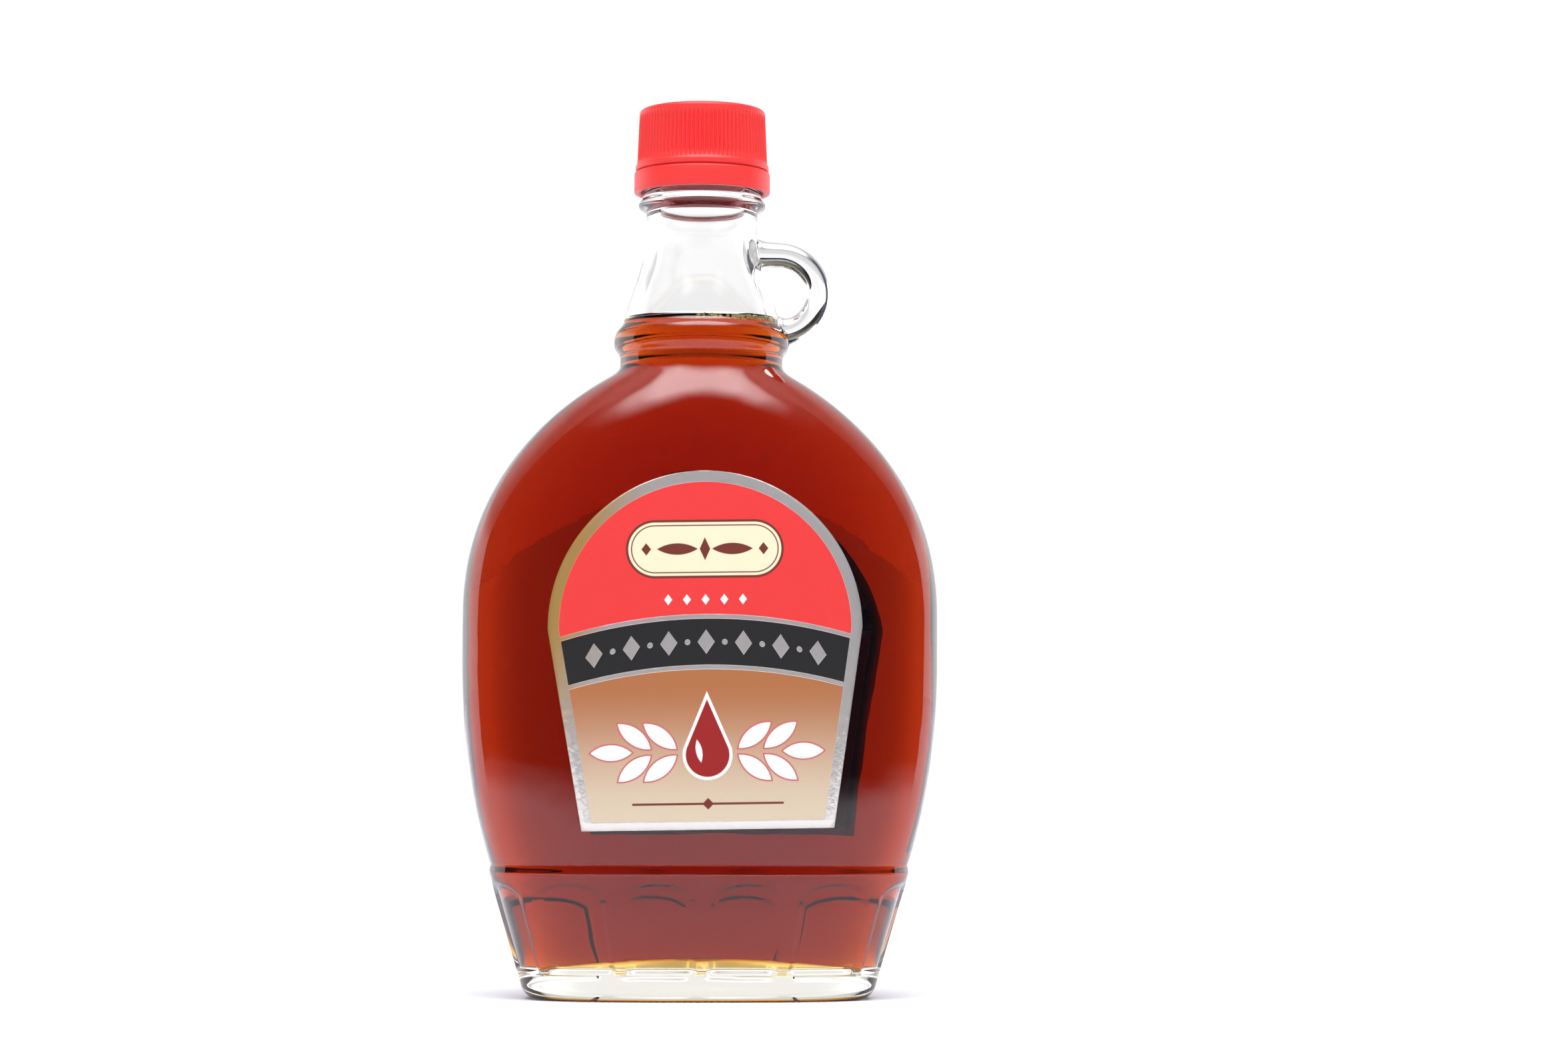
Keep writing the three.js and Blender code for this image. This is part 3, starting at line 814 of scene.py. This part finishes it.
def label_fields(tree, label):
    """Places on a label, in millimetres from the middle of its springing line, and distances to its edges."""
    x, _, z = coordinates(tree, "Object")
    right = x / MM - label["x"]
    up = z / MM - LABEL_SPRINGING
    tilt = math.radians(label["tilt"])
    x = (right * math.cos(tilt) + up * math.sin(tilt)) * -label["face"]
    z = up * math.cos(tilt) - right * math.sin(tilt)
    fall = LABEL_BOTTOM - LABEL_SPRINGING
    half = label["radius"] + (label["bottom_half"] - label["radius"]) * (z / fall).most(0)
    side = half - abs(x)
    arch = label["radius"] - x.length(z.most(0))
    return x, z, side.least(arch), z - fall


def finish_print(material, shader, colour, foil, grain):
    """Sets a print's colour, and its gloss: rippled foil where the mask is 1 and coated paper elsewhere."""
    tree = material.node_tree
    tree.links.new(colour, shader.inputs["Base Color"])
    metal = foil * FOIL["metal"]
    tree.links.new(metal.socket, shader.inputs["Metallic"])
    roughness = FOIL["paper_roughness"] + foil * (FOIL["roughness"] - FOIL["paper_roughness"])
    tree.links.new(roughness.socket, shader.inputs["Roughness"])
    shader.inputs["Specular IOR Level"].default_value = LABEL_SPECULAR
    ripple = noise_field(tree, FOIL["ripple_scale"], FOIL["ripple_detail"])
    add_bump(shader, ripple * foil + grain * FOIL["paper_bump"], FOIL["ripple_height"])


def front_print():
    """Foil rim, red field with a cream plaque, bowed black band, tan field with a drop and leaves."""
    material, shader = new_material("front_print")
    tree = material.node_tree
    x, z, side, bottom = label_fields(tree, FRONT_LABEL)
    grain = noise_field(tree, PAPER_GRAIN["scale"])
    band = FRONT_BAND
    height = z - band["at"] - (1 - x * x / band["span"] ** 2) * band["bow"]
    colour = paint(tree, INK["red"], grain * PAPER_GRAIN["red"], INK["deep_red"])
    pale = 1 - z.step(*band["tan_fade"])
    tan = paint(tree, INK["tan"], pale, INK["pale_tan"])
    colour = paint(tree, colour, inside(height), tan)
    drop_place = drop(x, z - DROP["at"], DROP["radius"], DROP["tip"])
    colour = paint(tree, colour, inside(drop_place - DROP["rim"]), INK["white"])
    colour = paint(tree, colour, inside(drop_place), INK["drop"])
    shine = leaf(x, z, DROP["shine"], *DROP["shine_half"], math.radians(DROP["shine_turn"]))
    colour = paint(tree, colour, inside(shine), INK["white"])
    for centre_x, centre_z, turn in SPRIG["leaves"]:
        centre = (centre_x, centre_z)
        blade = leaf(abs(x), z, centre, SPRIG["half_long"], SPRIG["half_wide"], math.radians(turn))
        colour = paint(tree, colour, inside(blade - SPRIG["rim"]), INK["rim"])
        colour = paint(tree, colour, inside(blade), INK["white"])
    rule = line(z - RULE["at"], RULE["width"]) * inside(abs(x) - RULE["half"])
    gem = inside(diamond(x, z - RULE["at"], RULE["gem"], RULE["gem"]))
    colour = paint(tree, colour, rule.most(gem), INK["brown"])
    plaque = stadium(x, z - PLAQUE["at"], PLAQUE["straight"], PLAQUE["radius"])
    colour = paint(tree, colour, inside(plaque), INK["cream"])
    frame_lines = line(plaque, PLAQUE["line"]).most(line(plaque + PLAQUE["inset"], PLAQUE["line"] / 2))
    spray = inside(leaf(abs(x), z - PLAQUE["at"], (PLAQUE["leaf_at"], 0), *PLAQUE["leaf_half"], 0))
    studs = inside(diamond(abs(x) - PLAQUE["stud_at"], z - PLAQUE["at"], *PLAQUE["stud"]))
    middle = inside(diamond(x, z - PLAQUE["at"], *PLAQUE["gem"]))
    colour = paint(tree, colour, frame_lines.most(spray).most(studs).most(middle), INK["brown"])
    beads = inside(diamond(x.repeat(BEAD_ROW["pitch"]), z - BEAD_ROW["at"], *BEAD_ROW["bead"]))
    colour = paint(tree, colour, beads * inside(abs(x) - BEAD_ROW["half"]), INK["white"])
    colour = paint(tree, colour, inside(abs(height) - band["half"]), INK["black"])
    lozenges = inside(diamond(x.repeat(band["pitch"]), height, *band["lozenge"]))
    studs = inside((x + band["pitch"] / 2).repeat(band["pitch"]).length(height) - band["stud"])
    lines = line(abs(height) - band["half"] - band["line"] / 2, band["line"])
    rim = inside(side - FOIL["rim"]).most(inside(bottom - FOIL["bottom_rim"]))
    foil = rim.most(lines).most(lozenges.most(studs) * inside(abs(x) - band["row_half"]))
    warm = 1 - ((x - z * FOIL["gold_lean"]) / FRONT_LABEL["radius"]).step(*FOIL["gold_fade"])
    colour = paint(tree, colour, foil, paint(tree, INK["silver"], warm, INK["gold"]))
    finish_print(material, shader, colour, foil, grain)
    return material


def back_print():
    """Foil rim, red head with a cream drop, black band and a cream panel of fine rules."""
    material, shader = new_material("back_print")
    tree = material.node_tree
    x, z, side, bottom = label_fields(tree, BACK_LABEL)
    grain = noise_field(tree, PAPER_GRAIN["scale"])
    colour = paint(tree, INK["cream"], grain * PAPER_GRAIN["cream"], INK["pale_tan"])
    head = inside(BACK["band"] - z)
    colour = paint(tree, colour, head, INK["red"])
    drop_place = drop(x, z - BACK["drop"], BACK["drop_radius"], BACK["drop_tip"])
    colour = paint(tree, colour, inside(drop_place), INK["cream"])
    colour = paint(tree, colour, inside(abs(z - BACK["band"]) - BACK["band_half"]), INK["black"])
    rules = line((z - BACK["rules_from"]).repeat(BACK["pitch"]), BACK["rule"])
    panel = inside(abs(x) - BACK["half"]) * inside(abs(z - BACK["middle"]) - BACK["half_tall"])
    colour = paint(tree, colour, rules * panel, INK["brown"])
    foil = inside(side - BACK["rim"]).most(inside(bottom - BACK["rim"]))
    foil = foil.most(line(abs(z - BACK["band"]) - BACK["line_at"], BACK["line"]))
    colour = paint(tree, colour, foil, INK["silver"])
    finish_print(material, shader, colour, foil, grain)
    return material


# Stage

def add_floor():
    corners = ((-1, -1, 0), (1, -1, 0), (1, 1, 0), (-1, 1, 0))
    vertices = np.array(corners, dtype=float) * STAGE_HALF
    floor = make_object("floor", vertices, [(0, 1, 2, 3)])
    material, shader = new_material("floor_paint")
    shader.inputs["Base Color"].default_value = STAGE_LOOK["colour"]
    shader.inputs["Roughness"].default_value = STAGE_LOOK["roughness"]
    floor.data.materials.append(material)


def add_world():
    """Soft studio: a white horizon, darker walls, lighter behind the bottle, and a bright panel overhead."""
    world = bpy.data.worlds.new("studio")
    bpy.context.scene.world = world
    world.use_nodes = True
    tree = world.node_tree
    background = tree.nodes["Background"]
    x, y, z = coordinates(tree, "Generated")
    ahead = abs(y).step(*STUDIO["side_fade"])
    horizon = STUDIO["side"] + ahead * (STUDIO["horizon"] - STUDIO["side"])
    low = 1 - z.step(*STUDIO["horizon_fade"])
    behind = y.step(*STUDIO["backdrop_fade"]) * (1 - z.step(*STUDIO["backdrop_top"]))
    wall = STUDIO["wall"] + behind * (STUDIO["backdrop"] - STUDIO["wall"])
    facing = (y * STUDIO["panel_direction"][0] + z * STUDIO["panel_direction"][1]) / y.length(z)
    ceiling = z.step(*STUDIO["ceiling_fade"]) * STUDIO["ceiling"]
    between_ends = 1 - abs(x).step(*STUDIO["panel_ends"])
    panel = facing.step(*STUDIO["panel_fade"]) * between_ends * STUDIO["panel"]
    total = horizon * low + (1 - low) * wall + ceiling + panel
    tree.links.new(total.socket, background.inputs["Strength"])
    background.inputs["Color"].default_value = STUDIO["colour"]


def add_flag():
    """Dark card round the front, seen only in reflections, as a photographer's flag would be."""
    angles = np.radians(np.linspace(-FLAG["turn"], FLAG["turn"], FLAG["steps"] + 1))
    heights = (0, FLAG["height"])
    ring = [(FLAG["radius"] * math.sin(angle), -FLAG["radius"] * math.cos(angle)) for angle in angles]
    points = [(x, y, z) for z in heights for x, y in ring]
    count = len(angles)
    faces = [(step, step + 1, count + step + 1, count + step) for step in range(count - 1)]
    flag = make_object("flag", np.array(points), faces)
    material, shader = new_material("flag_cloth")
    tree = material.node_tree
    shader.inputs["Base Color"].default_value = FLAG_COLOUR
    shader.inputs["Specular IOR Level"].default_value = 0
    _, _, height = coordinates(tree, "Object")
    cover = height.step(*FLAG["bottom_fade"]) * (1 - height.step(*FLAG["top_fade"]))
    tree.links.new(cover.socket, shader.inputs["Alpha"])
    flag.data.materials.append(material)
    for kind in ("camera", "diffuse", "transmission", "volume_scatter", "shadow"):
        setattr(flag, "visible_" + kind, False)


def add_camera():
    """Camera of the photograph, turned so that the bottle's axis at camera height is on AXIS_PIXEL."""
    data = bpy.data.cameras.new("camera")
    data.sensor_fit = "HORIZONTAL"
    data.sensor_width = SENSOR_WIDTH
    data.lens = SENSOR_WIDTH * FOCAL_PIXELS / IMAGE_WIDTH
    data.clip_start = CLIP_START
    camera = bpy.data.objects.new("camera", data)
    bpy.context.scene.collection.objects.link(camera)
    yaw = math.atan((IMAGE_WIDTH / 2 - AXIS_PIXEL[0]) / FOCAL_PIXELS)
    pitch = math.atan((AXIS_PIXEL[1] - IMAGE_HEIGHT / 2) / FOCAL_PIXELS)
    right = math.sin(CAMERA_AZIMUTH) * CAMERA_DISTANCE * MM
    ahead = -math.cos(CAMERA_AZIMUTH) * CAMERA_DISTANCE * MM
    place = Matrix.Translation((right, ahead, CAMERA_HEIGHT * MM))
    aim = Matrix.Rotation(CAMERA_AZIMUTH - yaw, 4, "Z") @ Matrix.Rotation(math.pi / 2 + pitch, 4, "X")
    camera.matrix_world = place @ aim @ Matrix.Rotation(CAMERA_ROLL, 4, "Z")
    bpy.context.scene.camera = camera


def finish_piece(piece, node, slot, *materials):
    """Gives a piece its materials and its place in the shared frame."""
    piece.data.materials.clear()
    for material in materials:
        piece.data.materials.append(material)
    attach(piece, "root")
    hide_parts(node)


bottle = bottle_object()
finish_piece(bottle, "bottle", "glass", glass_material(), wet_glass_material())
mark_wet_faces(bottle)
finish_piece(syrup_object(), "syrup", "syrup", syrup_material())
finish_piece(foam_object(), "syrup", "syrup", foam_material())
finish_piece(cap_object(), "cap", "cap", cap_material())
finish_piece(label_object("front_label_print", FRONT_LABEL), "front_label", "label", front_print())
finish_piece(label_object("back_label_print", BACK_LABEL), "back_label", "label", back_print())

add_floor()
add_world()
add_flag()
add_camera()

scene = bpy.context.scene
scene.view_settings.view_transform = "Standard"
scene.cycles.max_bounces = BOUNCES
scene.cycles.transmission_bounces = BOUNCES
